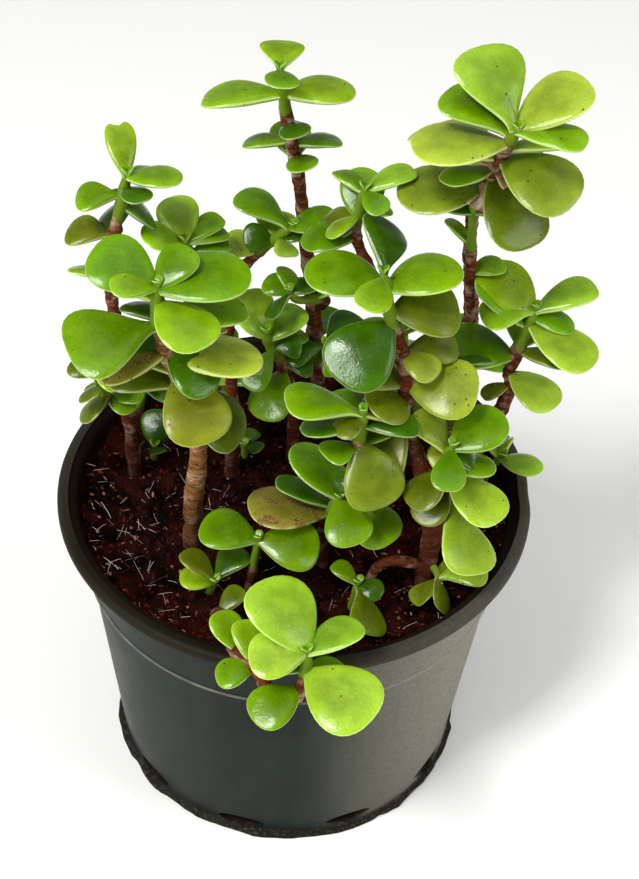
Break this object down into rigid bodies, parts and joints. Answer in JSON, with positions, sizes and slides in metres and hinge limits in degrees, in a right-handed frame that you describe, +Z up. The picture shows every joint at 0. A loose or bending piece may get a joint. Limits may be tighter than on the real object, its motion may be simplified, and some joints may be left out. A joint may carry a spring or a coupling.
{
  "type": "potted jade plant",
  "caption": "Small-leaved jade succulent with upright woody stems and fleshy oval leaves, growing in a round tapered nursery pot filled with dark peat soil.",
  "frame": {"origin": "centre of the pot's flat underside", "axes": "+Z up along the pot's axis; -Y towards the plant's front, the side the picture shows; +X to the right seen from the front"},
  "size_m": [0.1348, 0.1491, 0.2199],
  "materials": {
    "pot_plastic": "satin dark grey-green moulded plastic",
    "soil": "moist dark red-brown peat and coco fibre, fully matte",
    "bark": "rough red-brown to tan bark with leaf-scar rings",
    "leaf": "smooth waxy green leaf skin with broad soft highlights"
  },
  "bodies": {
    "root": {"pot": "pot_plastic", "soil": "soil", "wood_back_middle": "bark", "wood_back_right": "bark", "wood_centre": "bark", "wood_front_left": "bark", "wood_hero": "bark", "wood_left": "bark", "wood_main": "bark", "wood_mid_back": "bark", "wood_mid_left": "bark", "wood_right": "bark", "wood_tall": "bark", "shoot_back_middle": "leaf", "shoot_back_right": "leaf", "shoot_centre": "leaf", "shoot_front_centre": "leaf", "shoot_front_left": "leaf", "shoot_hero": "leaf", "shoot_hero_back": "leaf", "shoot_left": "leaf", "shoot_left_back": "leaf", "shoot_left_twig": "leaf", "shoot_main": "leaf", "shoot_main_back": "leaf", "shoot_main_foot": "leaf", "shoot_mid_back": "leaf", "shoot_mid_left": "leaf", "shoot_mid_left_back": "leaf", "shoot_mid_left_twig": "leaf", "shoot_overhang": "leaf", "shoot_right": "leaf", "shoot_right_low": "leaf", "shoot_right_side": "leaf", "shoot_sprig_back_left": "leaf", "shoot_sprig_far_left": "leaf", "shoot_sprig_front_right": "leaf", "shoot_sprig_left": "leaf", "shoot_sprig_middle": "leaf", "shoot_tall": "leaf", "shoot_tall_back": "leaf", "shoot_tall_low": "leaf", "shoot_tall_twig": "leaf"}
  },
  "joints": []
}
